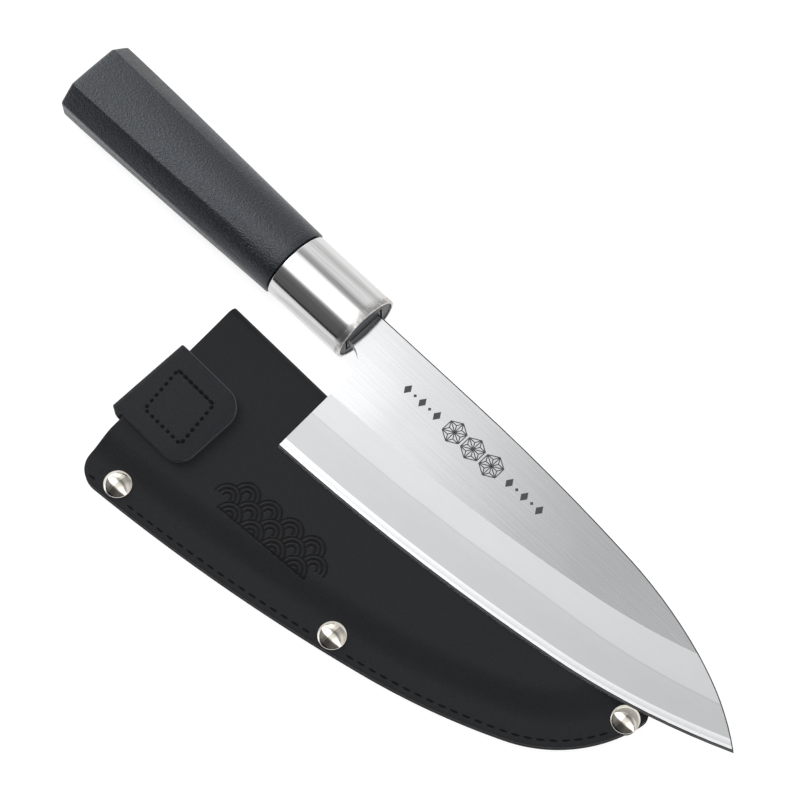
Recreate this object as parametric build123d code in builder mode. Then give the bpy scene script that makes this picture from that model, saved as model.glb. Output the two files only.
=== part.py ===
"""A single-bevel deba knife lying on its folded leather sheath.

The row frame has its origin on the flat back of the sheath, at the middle of its length and width.
+X runs from the sheath's mouth to its tip, +Y to its fold and +Z up out of its front.
"""

import os
from math import atan, atan2, cos, degrees, radians, sin, tan

from build123d import *

os.makedirs("parts", exist_ok=True)

# Driving sizes of the blade, in millimetres
# Along is measured from the ferrule's mouth towards the tip, depths and heights from the handle's axis
blade_length = 167.2
blade_thickness = 3.5
heel_along = 8.3
heel_depth = 47.2
tip_depth = 19.0
spine_height = 6.0
neck_depth = 7.0
bevel_width = 23.3

# Driving sizes of the handle and the ferrule
grip_length = 95.3
butt_width = 29.7
butt_thickness = 19.1
ferrule_length = 32.2
ferrule_width = 25.0
ferrule_thickness = 18.4
ferrule_wall = 0.8

# Driving sizes of the sheath, lengths from the mouth and depths from the fold
sheath_length = 186.6
sheath_width = 74.2
leather_thickness = 1.4
pocket_height = 4.7
welt_thickness = 0.9
welt_width = 8.5

# Driving sizes of the strap
strap_width = 29.7
strap_length = 30.6
strap_from_fold = 22.1
strap_overhang = 1.3

# Where the knife lies on the sheath
knife_ahead = 35.9
knife_aside = 23.2
knife_turn = 0.7
knife_gap = 0.3

# Shared clearances and the overrun of every cut
press_clearance = 0.1
moving_clearance = 0.2
overrun = 10.0

# Heights and places that several pieces share
sheath_height = 2 * leather_thickness + pocket_height
seam_height = 2 * leather_thickness + welt_thickness
mouth_x = -sheath_length / 2
fold_y = sheath_width / 2
blade_back_height = sheath_height + knife_gap
axis_height = blade_back_height + blade_thickness / 2

knife_direction = Vector(cos(radians(knife_turn)), sin(radians(knife_turn)), 0)
knife_origin = Vector(mouth_x + knife_ahead, fold_y + knife_aside, axis_height)
knife_plane = Plane(origin=knife_origin, x_dir=knife_direction, z_dir=(0, 0, 1))
blade_back = knife_plane.offset(-blade_thickness / 2)
sheath_back = Plane(origin=(mouth_x, fold_y, 0))


def across(along):
    """The plane square to the handle's axis, with its x to the spine and its y up."""
    centre = knife_plane.from_local_coords(Vector(along, 0, 0))
    return Plane(origin=centre, x_dir=knife_plane.y_dir, z_dir=knife_plane.x_dir)


# Outline of the blade, neck and tang
heel_rise_slope = 0.03
belly_share = 0.644
belly_rise = 10.5
spine_flat_share = 0.205
spine_bend_share = 0.621
spine_bend_fall = 3.2
spine_turn_share = 0.876
spine_turn_fall = 13.2
choil_radius = 8.5
shoulder_back = 8.0
tang_length = 88.0
tang_root = 10.0
tang_end = 7.0

heel_point = (heel_along, -heel_depth)
belly_point = (heel_along + belly_share * blade_length, -heel_depth + belly_rise)
tip_point = (heel_along + blade_length, -tip_depth)
spine_flat_point = (heel_along + spine_flat_share * blade_length, spine_height)
spine_bend_point = (heel_along + spine_bend_share * blade_length, spine_height - spine_bend_fall)
spine_turn_point = (heel_along + spine_turn_share * blade_length, spine_height - spine_turn_fall)


def cutting_edge():
    """The cutting edge from heel to tip, two arcs that run into each other."""
    with BuildLine() as edge:
        heel_arc = TangentArc(heel_point, belly_point, tangent=(1, heel_rise_slope))
        TangentArc(belly_point, tip_point, tangent=heel_arc % 1)
    return edge.line


def ground_plan(height):
    """The ground on the spine side of the edge, running out past the heel and the tip."""
    edge = cutting_edge()
    reach = bevel_width + heel_depth + overrun
    behind = Vector(heel_point) - Vector(1, heel_rise_slope) * (tang_length + reach)
    beyond = Vector(tip_point) + (edge % 1) * reach
    with BuildSketch(blade_back.offset(height)) as plan:
        with BuildLine():
            Line(behind, heel_point)
            add(edge)
            Polyline(tip_point, beyond, (beyond.X, reach), (behind.X, reach), behind)
        make_face()
    return plan.sketch


def ground_space(slope, start):
    """The steel that one grinding leaves, rising at the slope from the start height at the edge."""
    with BuildPart() as space:
        extrude(ground_plan(0), amount=start)
        extrude(ground_plan(start), amount=blade_thickness - start, taper=90 - degrees(atan(slope)))
    return space.part


# Blade, ground on one side only, with its tang
edge_land = 0.1
edge_facet_width = 0.8
edge_facet_slope = 0.5
small_bevel_width = 2.7
small_bevel_slope = 0.19

edge_facet_top = edge_land + edge_facet_width * edge_facet_slope
small_bevel_start = edge_facet_top - edge_facet_width * small_bevel_slope
small_bevel_end = edge_facet_width + small_bevel_width
small_bevel_top = small_bevel_start + small_bevel_end * small_bevel_slope
bevel_slope = (blade_thickness - small_bevel_top) / (bevel_width - small_bevel_end)
bevel_start = small_bevel_top - small_bevel_end * bevel_slope

with BuildPart() as blade:
    with BuildSketch(blade_back):
        with BuildLine():
            add(cutting_edge())
            bend_arc = TangentArc(spine_flat_point, spine_bend_point, tangent=(1, 0))
            turn_arc = TangentArc(spine_bend_point, spine_turn_point, tangent=bend_arc % 1)
            TangentArc(spine_turn_point, tip_point, tangent=turn_arc % 1)
            Polyline(
                spine_flat_point,
                (-shoulder_back, spine_height),
                (-shoulder_back, tang_root / 2),
                (-tang_length, tang_end / 2),
                (-tang_length, -tang_end / 2),
                (-shoulder_back, -tang_root / 2),
                (-shoulder_back, -neck_depth),
                (heel_along - choil_radius, -neck_depth),
            )
            RadiusArc(
                (heel_along - choil_radius, -neck_depth),
                (heel_along, -neck_depth - choil_radius),
                choil_radius,
            )
            Line((heel_along, -neck_depth - choil_radius), heel_point)
        make_face()
    extrude(amount=blade_thickness)
    add(ground_space(bevel_slope, bevel_start), mode=Mode.INTERSECT)
    add(ground_space(small_bevel_slope, small_bevel_start), mode=Mode.INTERSECT)
    add(ground_space(edge_facet_slope, edge_land), mode=Mode.INTERSECT)

# Ferrule with its mouth rolled in
ferrule_lip = 1.0
ferrule_lip_length = 1.0
ferrule_rounding = 0.7
bore_width = ferrule_width - 2 * ferrule_wall
bore_thickness = ferrule_thickness - 2 * ferrule_wall

with BuildPart() as ferrule:
    with BuildSketch(across(-ferrule_length)):
        Ellipse(ferrule_width / 2, ferrule_thickness / 2)
    extrude(amount=ferrule_length)
    fillet(ferrule.faces().sort_by(Axis.X)[-1].edges(), ferrule_rounding)
    with BuildSketch(across(-ferrule_length)):
        Ellipse(bore_width / 2, bore_thickness / 2)
    extrude(amount=ferrule_length - ferrule_lip_length, mode=Mode.SUBTRACT)
    with BuildSketch(across(-ferrule_length)):
        Ellipse(bore_width / 2 - ferrule_lip, bore_thickness / 2 - ferrule_lip)
    extrude(amount=ferrule_length + overrun, mode=Mode.SUBTRACT)

# Handle, one moulding with an octagonal grip and an oval nose that fills the ferrule
grip_mid_share = 0.3
grip_mid_width = 27.7
grip_front_width = 25.9
grip_front_thickness = 18.9
butt_chamfer = 5.8
front_chamfer = 6.1
butt_corner_radius = 1.5
mid_corner_radius = 2.0
front_corner_radius = 6.5
butt_rounding = 1.2


def grip_section(share, width, corner_radius):
    """One cross-section of the grip, at a share of its length from the ferrule to the butt."""
    thickness = grip_front_thickness + share * (butt_thickness - grip_front_thickness)
    corner = front_chamfer + share * (butt_chamfer - front_chamfer)
    with BuildSketch(across(-ferrule_length - share * grip_length)) as section:
        Rectangle(width, thickness)
        chamfer(section.vertices(), corner)
        fillet(section.vertices(), corner_radius)
    return section.sketch


with BuildPart() as handle:
    loft(
        [
            grip_section(1, butt_width, butt_corner_radius),
            grip_section(grip_mid_share, grip_mid_width, mid_corner_radius),
            grip_section(0, grip_front_width, front_corner_radius),
        ],
        ruled=True,
    )
    fillet(handle.faces().sort_by(Axis.X)[0].edges(), butt_rounding)
    with BuildSketch(across(-ferrule_length)):
        Ellipse(bore_width / 2 - press_clearance, bore_thickness / 2 - press_clearance)
    extrude(amount=ferrule_length - ferrule_lip_length)
    with BuildSketch(blade_back.offset(-moving_clearance)):
        with BuildLine():
            Polyline(
                (overrun, spine_height),
                (-shoulder_back, spine_height),
                (-shoulder_back, tang_root / 2),
                (-tang_length, tang_end / 2),
                (-tang_length, -tang_end / 2),
                (-shoulder_back, -tang_root / 2),
                (-shoulder_back, -neck_depth),
                (overrun, -neck_depth),
                close=True,
            )
        make_face()
        offset(amount=moving_clearance, kind=Kind.INTERSECTION)
    extrude(amount=blade_thickness + 2 * moving_clearance, mode=Mode.SUBTRACT)

# Outline of the sheath, from its mouth along the seam to its tip
mouth_slant = 4.4
seam_start_slope = 0.09
seam_bend_share = 0.617
seam_bend_depth_share = 0.741
seam_turn_share = 0.856
seam_turn_depth_share = 0.520
mouth_corner_radius = 7.8
tip_corner_radius = 5.0
slope_run = 9.0

mouth_corner = (mouth_slant, -sheath_width)
seam_bend = (seam_bend_share * sheath_length, -seam_bend_depth_share * sheath_width)
seam_turn = (seam_turn_share * sheath_length, -seam_turn_depth_share * sheath_width)
tip_corner = (sheath_length, 0)
pocket_rise = sheath_height - seam_height
slope_angle = degrees(atan(pocket_rise / slope_run))


def seam_edge():
    """The outer edge beside the seam, three arcs that run into each other."""
    with BuildLine() as seam:
        long_arc = TangentArc(mouth_corner, seam_bend, tangent=(1, seam_start_slope))
        short_arc = TangentArc(seam_bend, seam_turn, tangent=long_arc % 1)
        TangentArc(seam_turn, tip_corner, tangent=short_arc % 1)
    return Wire(seam.edges())


def inside_seam(inset, height):
    """The ground inside the seam edge by the inset, running out past the mouth and the fold."""
    seam = seam_edge()
    reach = welt_width + slope_run + overrun
    behind = Vector(mouth_corner) - Vector(1, seam_start_slope) * reach
    beyond = Vector(tip_corner) + (seam % 1) * reach
    with BuildSketch(sheath_back.offset(height)) as ground:
        with BuildLine():
            Line(behind, mouth_corner)
            add(seam)
            Polyline(tip_corner, beyond, (behind.X, beyond.Y), behind)
        make_face()
        if inset > 0:
            offset(amount=-inset, kind=Kind.INTERSECTION)
    return ground.sketch


def folded_space(skin):
    """The space inside the folded sheet by the skin: low at the welt, high past it, round at the fold."""
    crease = tan(radians(slope_angle / 2))
    plateau_inset = welt_width - (leather_thickness - skin) * crease
    fold_centre = (mouth_x - overrun, fold_y - sheath_height / 2, sheath_height / 2)
    with BuildPart() as space:
        extrude(inside_seam(0, skin), amount=seam_height - 2 * skin)
        extrude(
            inside_seam(plateau_inset, seam_height - skin),
            amount=pocket_rise,
            taper=90 - slope_angle,
        )
        with BuildSketch(Plane(origin=fold_centre, x_dir=(0, 1, 0), z_dir=(1, 0, 0))):
            Circle(sheath_height / 2 - skin)
            Rectangle(
                sheath_width + overrun,
                sheath_height - 2 * skin,
                align=(Align.MAX, Align.CENTER),
            )
        extrude(amount=sheath_length + 2 * overrun, mode=Mode.INTERSECT)
    return space.part


def sheath_outline(height):
    """The outline of the sheath from above, its corners rounded."""
    with BuildSketch(sheath_back.offset(height)) as outline:
        with BuildLine():
            add(seam_edge())
            Polyline(tip_corner, (0, 0), mouth_corner)
        make_face()
        fillet(outline.vertices().sort_by(Axis.Y)[0], mouth_corner_radius)
        fillet(outline.vertices().sort_by(Axis.X)[-1], tip_corner_radius)
    return outline.sketch


# Places of the rivets and the stitches along the seam
rivet_shares = (0.067, 0.470, 0.954)
rivet_insets = (5.4, 5.0, 3.6)
rivet_diameter = 9.0
rivet_dome = 2.6
rivet_rim = 0.5
rivet_post_diameter = 3.0
rivet_back_diameter = 8.2
rivet_back_thickness = 0.7
rivet_socket = 0.4
seam_inset = 2.1
stitch_pitch = 4.0
stitch_length = 2.9
stitch_width = 0.8
stitch_sink = 0.4
stitch_stand = 0.2
stitch_start_share = 0.025


def beside(path, share, inset):
    """A place beside a path, at a share of its length and at an inset to its left."""
    heading = path % share
    return path @ share + Vector(-heading.Y, heading.X) * inset


rivet_spots = [beside(seam_edge(), share, inset) for share, inset in zip(rivet_shares, rivet_insets)]


def stitch_marks(path, pitch, length, inset, grow, height):
    """The stitches beside a path, as slots on the plane at the height, none of them under a rivet."""
    count = round(path.length / pitch)
    with BuildSketch(sheath_back.offset(height)) as marks:
        for number in range(count):
            share = (2 * number + 1) / (2 * count)
            heading = path % share
            place = beside(path, share, inset)
            clear = all((place - spot).length > (rivet_diameter + length) / 2 for spot in rivet_spots)
            sewn = inset == 0 or stitch_start_share < share < rivet_shares[-1]
            if clear and sewn:
                with Locations((place.X, place.Y)):
                    SlotOverall(
                        length + 2 * grow,
                        stitch_width + 2 * grow,
                        rotation=degrees(atan2(heading.Y, heading.X)),
                    )
    return marks.sketch


def seam_marks(grow, height):
    """The stitches of the seam, from the mouth to the rivet at the tip."""
    return stitch_marks(seam_edge(), stitch_pitch, stitch_length, seam_inset, grow, height)


# Square of stitches that holds the hook tape, leaning a little as it is sewn
square_size = 16.5
square_lean = 2.4
square_along = 14.2
square_depth = 37.4
square_pitch = 2.36
square_stitch_length = 1.7


def square_marks(grow, height):
    """The four rows of stitches of the square."""
    half = square_size / 2
    lean = square_lean / 2
    corners = ((-half - lean, half), (-half + lean, -half), (half + lean, -half), (half - lean, half))
    with BuildLine() as square:
        Polyline(*[(square_along + x, y - square_depth) for x, y in corners], close=True)
    return stitch_marks(Wire(square.edges()), square_pitch, square_stitch_length, 0, grow, height)


# Strap, cut in one with the back leaf and folded over the mouth in two bends
tape_size = 19.0
loop_thickness = 0.8
hook_thickness = 0.6
strap_bend_radius = 1.2
strap_near_radius = 8.0
strap_far_radius = 11.0
root_overlap = 2.0

strap_under = sheath_height + loop_thickness + moving_clearance + hook_thickness
strap_top = strap_under + leather_thickness
strap_corner = (mouth_x - strap_overhang, fold_y - strap_from_fold, 0)
strap_side = Plane(origin=strap_corner, x_dir=(1, 0, 0), z_dir=(0, -1, 0))
low_centre = (strap_bend_radius, strap_bend_radius)
high_centre = (strap_bend_radius, strap_top - strap_bend_radius)

with BuildPart() as strap_fold:
    with BuildSketch(strap_side):
        with BuildLine():
            low_bend = CenterArc(low_centre, strap_bend_radius, 180, 45)
            high_bend = CenterArc(high_centre, strap_bend_radius, 135, 45)
            Line(low_bend @ 0, high_bend @ 1)
            Polyline(
                low_bend @ 1,
                (leather_thickness, leather_thickness),
                (leather_thickness, strap_under),
                high_bend @ 0,
            )
        make_face()
    extrude(amount=strap_width)

with BuildPart() as strap_flap:
    with BuildSketch(strap_side):
        with BuildLine():
            top_bend = CenterArc(high_centre, strap_bend_radius, 90, 45)
            Polyline(
                top_bend @ 0,
                (strap_length, strap_top),
                (strap_length, strap_under),
                (leather_thickness, strap_under),
                top_bend @ 1,
            )
        make_face()
    extrude(amount=strap_width)
    flap_corners = strap_flap.edges().filter_by(Axis.Z).group_by(Axis.X)[-1].sort_by(Axis.Y)
    fillet(flap_corners[0], strap_near_radius)
    fillet(flap_corners[-1], strap_far_radius)
    extrude(square_marks(press_clearance, strap_top), amount=-stitch_sink, mode=Mode.SUBTRACT)

with BuildPart() as strap_stitching:
    extrude(square_marks(0, strap_top), amount=-stitch_sink)


def tape_outline(height):
    """The outline of the hook tape and of the loop tape on the plane at the height."""
    with BuildSketch(sheath_back.offset(height)) as outline:
        with Locations((square_along, -square_depth)):
            Rectangle(tape_size, tape_size)
    return outline.sketch


with BuildPart() as hook_patch:
    extrude(tape_outline(strap_under), amount=-hook_thickness)

with BuildPart() as loop_patch:
    extrude(tape_outline(sheath_height), amount=loop_thickness)
    extrude(
        square_marks(press_clearance, sheath_height + loop_thickness),
        amount=-stitch_sink,
        mode=Mode.SUBTRACT,
    )

with BuildPart() as loop_patch_stitching:
    extrude(square_marks(0, sheath_height + loop_thickness), amount=-stitch_sink)


def rivet_discs(diameter, height):
    """One disc under each rivet on the plane at the height."""
    with BuildSketch(sheath_back.offset(height)) as discs:
        with Locations(*rivet_spots):
            Circle(diameter / 2 + press_clearance)
    return discs.sketch


# Leather of the sheath, one folded sheet with the root of the strap
with BuildPart() as sheath_leather:
    extrude(sheath_outline(0), amount=sheath_height)
    add(folded_space(0), mode=Mode.INTERSECT)
    add(folded_space(leather_thickness), mode=Mode.SUBTRACT)
    with BuildSketch(strap_side):
        with BuildLine():
            root_bend = CenterArc(low_centre, strap_bend_radius, 225, 45)
            Polyline(
                root_bend @ 1,
                (strap_overhang + mouth_slant + root_overlap, 0),
                (strap_overhang + mouth_slant + root_overlap, leather_thickness),
                (leather_thickness, leather_thickness),
                root_bend @ 0,
            )
        make_face()
    extrude(amount=strap_width)
    extrude(rivet_discs(rivet_diameter, seam_height), amount=sheath_height, mode=Mode.SUBTRACT)
    extrude(rivet_discs(rivet_post_diameter, 0), amount=sheath_height, mode=Mode.SUBTRACT)
    extrude(rivet_discs(rivet_back_diameter, 0), amount=rivet_back_thickness, mode=Mode.SUBTRACT)
    extrude(seam_marks(press_clearance, seam_height), amount=-stitch_sink, mode=Mode.SUBTRACT)
    extrude(seam_marks(press_clearance, 0), amount=stitch_sink, mode=Mode.SUBTRACT)

# Welt between the two leaves along the seam, ending where the fold begins to bend
with BuildPart() as edge_welt:
    extrude(sheath_outline(leather_thickness), amount=welt_thickness)
    extrude(inside_seam(welt_width, leather_thickness), amount=welt_thickness, mode=Mode.SUBTRACT)
    with BuildSketch(sheath_back.offset(leather_thickness)):
        with Locations((0, -sheath_height / 2)):
            Rectangle(sheath_length, sheath_height, align=(Align.MIN, Align.MIN))
    extrude(amount=welt_thickness, mode=Mode.SUBTRACT)
    extrude(rivet_discs(rivet_post_diameter, leather_thickness), amount=welt_thickness, mode=Mode.SUBTRACT)

# Stitches of the seam, flush with the back so that the sheath lies flat
with BuildPart() as edge_stitching:
    extrude(seam_marks(0, seam_height - stitch_sink), amount=stitch_sink + stitch_stand)
    extrude(seam_marks(0, 0), amount=stitch_sink)

# Rivets, each a domed cap with its post and a flat back that the post is set in
cap_radius = rivet_diameter / 2
post_radius = rivet_post_diameter / 2
post_foot = rivet_back_thickness - rivet_socket
cap_rim = seam_height + rivet_rim
cap_top = seam_height + rivet_dome

with BuildPart() as rivet_caps:
    for spot in rivet_spots:
        centre = sheath_back.from_local_coords(spot)
        with BuildSketch(Plane(origin=centre, x_dir=(1, 0, 0), z_dir=(0, -1, 0))):
            with BuildLine():
                TangentArc((0, cap_top), (cap_radius, cap_rim), tangent=(1, 0))
                Polyline(
                    (cap_radius, cap_rim),
                    (cap_radius, seam_height),
                    (post_radius, seam_height),
                    (post_radius, post_foot),
                    (0, post_foot),
                    (0, cap_top),
                )
            make_face()
        revolve(axis=Axis(origin=centre, direction=(0, 0, 1)))

with BuildPart() as rivet_backs:
    for spot in rivet_spots:
        centre = sheath_back.from_local_coords(spot)
        with Locations(centre):
            Cylinder(
                rivet_back_diameter / 2,
                rivet_back_thickness,
                align=(Align.CENTER, Align.CENTER, Align.MIN),
            )
    extrude(rivet_discs(rivet_post_diameter, post_foot), amount=rivet_socket, mode=Mode.SUBTRACT)

blade.part.label = "blade"
ferrule.part.label = "ferrule"
handle.part.label = "handle"
sheath_leather.part.label = "sheath_leather"
edge_welt.part.label = "edge_welt"
edge_stitching.part.label = "edge_stitching"
rivet_caps.part.label = "rivet_caps"
rivet_backs.part.label = "rivet_backs"
loop_patch.part.label = "loop_patch"
loop_patch_stitching.part.label = "loop_patch_stitching"
strap_fold.part.label = "strap_fold"
strap_flap.part.label = "strap_flap"
hook_patch.part.label = "hook_patch"
strap_stitching.part.label = "strap_stitching"

export_step(blade.part, "parts/blade.step")
export_step(ferrule.part, "parts/ferrule.step")
export_step(handle.part, "parts/handle.step")
export_step(sheath_leather.part, "parts/sheath_leather.step")
export_step(edge_welt.part, "parts/edge_welt.step")
export_step(edge_stitching.part, "parts/edge_stitching.step")
export_step(rivet_caps.part, "parts/rivet_caps.step")
export_step(rivet_backs.part, "parts/rivet_backs.step")
export_step(loop_patch.part, "parts/loop_patch.step")
export_step(loop_patch_stitching.part, "parts/loop_patch_stitching.step")
export_step(strap_fold.part, "parts/strap_fold.step")
export_step(strap_flap.part, "parts/strap_flap.step")
export_step(hook_patch.part, "parts/hook_patch.step")
export_step(strap_stitching.part, "parts/strap_stitching.step")
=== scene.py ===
"""A single-bevel deba knife lying on its folded leather sheath, dressed around its CAD frame."""

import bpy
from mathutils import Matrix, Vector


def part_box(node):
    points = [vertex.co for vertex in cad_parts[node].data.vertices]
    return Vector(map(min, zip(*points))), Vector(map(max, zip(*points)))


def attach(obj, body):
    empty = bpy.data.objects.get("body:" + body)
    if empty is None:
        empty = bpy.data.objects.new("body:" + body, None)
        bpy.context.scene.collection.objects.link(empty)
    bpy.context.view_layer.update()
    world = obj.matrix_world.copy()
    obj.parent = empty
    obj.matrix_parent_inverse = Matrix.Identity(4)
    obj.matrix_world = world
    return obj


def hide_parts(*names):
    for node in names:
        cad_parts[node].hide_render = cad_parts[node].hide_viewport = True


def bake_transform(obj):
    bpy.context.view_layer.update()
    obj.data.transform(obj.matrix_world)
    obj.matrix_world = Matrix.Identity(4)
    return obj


bl_info = {
    "name": "Deba Knife With Sheath",
    "version": (1, 0, 0),
    "blender": (4, 5, 0),
    "location": "View3D > Sidebar > Deba",
    "description": "Builds the leather, thread, steel and resin of a deba knife and its sheath",
    "category": "Object",
}

from functools import partial
from math import atan2, cos, hypot, pi, radians, sin, tan

import bmesh
import bpy
from bpy.props import FloatProperty, FloatVectorProperty, PointerProperty
from mathutils import Matrix, Vector
from mathutils.geometry import interpolate_bezier

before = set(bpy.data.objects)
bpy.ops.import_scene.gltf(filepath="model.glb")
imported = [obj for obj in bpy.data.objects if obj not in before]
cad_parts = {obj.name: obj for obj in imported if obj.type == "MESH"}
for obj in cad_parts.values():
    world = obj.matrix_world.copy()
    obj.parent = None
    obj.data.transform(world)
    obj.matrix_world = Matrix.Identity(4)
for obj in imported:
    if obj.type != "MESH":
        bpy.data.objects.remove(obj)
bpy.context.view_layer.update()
MM = 0.001
# The knife's own frame: along the knife from the ferrule's mouth, aside to the spine, up from its axis
KNIFE = Matrix.Translation(Vector((-57.4, 60.3, 9.55)) * MM) @ Matrix.Rotation(radians(0.7), 4, "Z")
# Settings of a node that mixes two colours, and of one that multiplies them
MIXED = {"data_type": "RGBA"}
MULTIPLIED = {"data_type": "RGBA", "blend_type": "MULTIPLY"}
# Textures with the output that gives their pattern. A scale is how many marks come to a metre, so 2.5 / MM
# sets them 0.4 mm apart
NOISE = ("ShaderNodeTexNoise", "Fac")
TWIST = ("ShaderNodeTexWave", "Fac")
PILE = ("ShaderNodeTexVoronoi", "Distance")
# Heights over the knife's axis: the edge, the top of its facet, and the top of the honed bevel
EDGE, FACET_TOP, HONED_TOP = -1.65 * MM, -1.25 * MM, -0.737 * MM


def linear(code):
    """An sRGB hex colour as linear red, green, blue and alpha."""
    channels = [int(code[i : i + 2], 16) / 255 for i in (1, 3, 5)]
    return tuple(c / 12.92 if c <= 0.04045 else ((c + 0.055) / 1.055) ** 2.4 for c in channels) + (1.0,)


def length(name, description, millimetres):
    """A length that a user may change, kept in metres."""
    return FloatProperty(name=name, description=description, default=millimetres * MM, min=0.0, unit="LENGTH")


def share(name, description, value):
    """A plain number that a user may change."""
    return FloatProperty(name=name, description=description, default=value)


def colour(name, description, code):
    """A colour that a user may change."""
    return FloatVectorProperty(
        name=name, description=description, size=4, subtype="COLOR", min=0.0, max=1.0, default=linear(code)
    )


class DebaSheathSettings(bpy.types.PropertyGroup):
    """Sizes and colours of the folded sheath."""

    long: length("Length", "Length along the fold", 186.6)
    wide: length("Width", "Depth from the fold to the seam at the mouth", 74.2)
    leather: length("Leather thickness", "Thickness of one leaf", 1.4)
    height: length("Height", "Height over the pocket", 7.5)
    seam_height: length("Seam height", "Height of the two leaves and the welt at the seam", 3.7)
    welt_width: length("Welt width", "Width of the strip between the leaves", 8.5)
    slope_run: length("Slope", "Run of the slope from the welt to the pocket", 9.0)
    mouth_slant: length("Mouth slant", "How far the mouth slants by the seam", 4.4)
    mouth_corner: length("Mouth corner", "Radius of the corner between mouth and seam", 7.8)
    tip_corner: length("Tip corner", "Radius of the corner at the tip", 5.0)
    cut_rounding: length("Cut edge rounding", "Rounding of the cut edges", 0.3)
    press_depth: length("Press depth", "Depth of the pressed wave ornament", 0.45)
    press_width: length("Press width", "Width of the pressed lines", 0.85)
    wave_radius: length("Wave radius", "Outer radius of one wave of the ornament", 4.7)
    grain: length("Grain", "Size of the leather's fine grain", 0.55)
    leather_colour: colour("Leather", "Colour of the leather's face", "#1c1d20")
    edge_colour: colour("Cut edge", "Colour of the leather's cut edge", "#202123")
    thread_colour: colour("Thread", "Colour of the waxed thread", "#060607")
    nickel_colour: colour("Nickel", "Colour of the rivets' nickel plate", "#d9d3c9")


class DebaStrapSettings(bpy.types.PropertyGroup):
    """Sizes of the strap that closes the mouth."""

    wide: length("Width", "Width of the strap", 29.7)
    long: length("Length", "Length of the strap on the front", 30.6)
    from_fold: length("From the fold", "Distance of the strap from the sheath's fold", 22.1)
    overhang: length("Overhang", "How far the strap stands out of the mouth", 1.3)
    top: length("Top", "Height of the strap's top face", 10.5)
    bend: length("Bend radius", "Radius of the strap's bends at its middle", 1.35)
    near_corner: length("Near corner", "Radius of the free corner by the seam", 6.5)
    far_corner: length("Far corner", "Radius of the free corner by the fold", 8.2)
    droop: length("Droop", "How far the free end hangs down", 0.5)


class DebaKnifeSettings(bpy.types.PropertyGroup):
    """Sizes and finishes of the knife, measured from the ferrule's mouth."""

    ferrule_long: length("Ferrule length", "Length of the ferrule", 32.2)
    ferrule_wide: length("Ferrule width", "Width of the oval ferrule", 25.0)
    ferrule_thick: length("Ferrule thickness", "Thickness of the oval ferrule", 18.4)
    ferrule_wall: length("Ferrule wall", "Thickness of the ferrule's wall", 0.8)
    crown: length("Crown", "How far the grip's broad faces are crowned", 0.9)
    grip_long: length("Grip length", "Length of the grip behind the ferrule", 95.3)
    butt_wide: length("Butt width", "Width of the grip at its butt", 29.7)
    butt_thick: length("Butt thickness", "Thickness of the grip at its butt", 19.1)
    front_wide: length("Front width", "Width of the grip at the ferrule", 25.9)
    front_thick: length("Front thickness", "Thickness of the grip at the ferrule", 18.9)
    butt_chamfer: length("Butt chamfer", "Size of the octagon's corner facets at the butt", 5.8)
    front_chamfer: length("Front chamfer", "Size of the octagon's corner facets at the ferrule", 6.1)
    joint_gap: length("Joint gap", "Width of the groove between the grip and the ferrule", 0.55)
    butt_rounding: length("Butt rounding", "Rounding of the butt's rim", 1.2)
    nose_wide: length("Nose width", "Width of the oval nose inside the ferrule", 23.2)
    nose_thick: length("Nose thickness", "Thickness of the oval nose inside the ferrule", 16.6)
    spine_line: length("Spine line", "Width of the dark line along the spine's upper edge", 0.36)
    spine_easing: length("Eased spine", "Rounding of the edges of the spine", 0.28)
    brush: length("Brushing", "Spacing of the lengthwise brush lines", 0.3)
    grind: length("Grinding", "Spacing of the grind marks on the small bevel", 0.4)
    resin_grain: length("Resin grain", "Size of the grip's moulded grain, drawn coarse enough to show", 0.6)
    etch_line: length("Etched line", "Width of the etched lines", 0.34)
    star_radius: length("Star radius", "Radius of one hemp-leaf star of the ornament", 4.0)
    steel_colour: colour("Blade steel", "Colour of the brushed steel", "#c3c4c5")
    ferrule_colour: colour("Ferrule steel", "Colour of the polished steel", "#d2d2d2")
    resin_colour: colour("Resin", "Colour of the grip", "#0d1013")
    etch_colour: colour("Etching", "Colour of the etched ornament", "#4c4c4e")


class DebaStudioSettings(bpy.types.PropertyGroup):
    """The floor, the light and the camera."""

    floor_radius: length("Floor radius", "Radius of the floor", 20000.0)
    lens: FloatProperty(name="Lens", description="Focal length of the camera", default=120.42, unit="CAMERA")
    azimuth: share("Azimuth", "Direction of the camera round the object, in degrees", 45.7)
    elevation: share("Elevation", "Height of the camera over the horizon, in degrees", 68.0)
    distance: length("Distance", "Distance of the camera from what it looks at", 844.16)
    light: share("Light", "Strength of the studio light", 5.2)
    floor_colour: colour("Floor", "Colour of the pale floor", "#8c8c8c")
    floor_glow: share("Floor glow", "Light that comes through the pale floor", 0.86)


# Nodes of a material


def plug(tree, node, inputs):
    """Gives a node its inputs: a plain value is set, and a socket is linked."""
    for name, value in inputs.items():
        if isinstance(value, bpy.types.NodeSocket):
            tree.links.new(value, node.inputs[name])
        else:
            node.inputs[name].default_value = value


def add_node(tree, kind, inputs=None, stops=(), **settings):
    """Adds one node with its settings and inputs; stops are the places and greys of a ramp."""
    node = tree.nodes.new(kind)
    for name, value in settings.items():
        setattr(node, name, value)
    plug(tree, node, inputs or {})
    for place, value in stops:
        node.color_ramp.elements.new(place).color = (value, value, value, 1)
    if stops:
        node.color_ramp.elements.remove(node.color_ramp.elements[0])
        node.color_ramp.elements.remove(node.color_ramp.elements[-1])
    return node


def new_material(name):
    """A material, and the function that adds a node to it."""
    material = bpy.data.materials.new(name)
    material.use_nodes = True
    return material, partial(add_node, material.node_tree)


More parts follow.
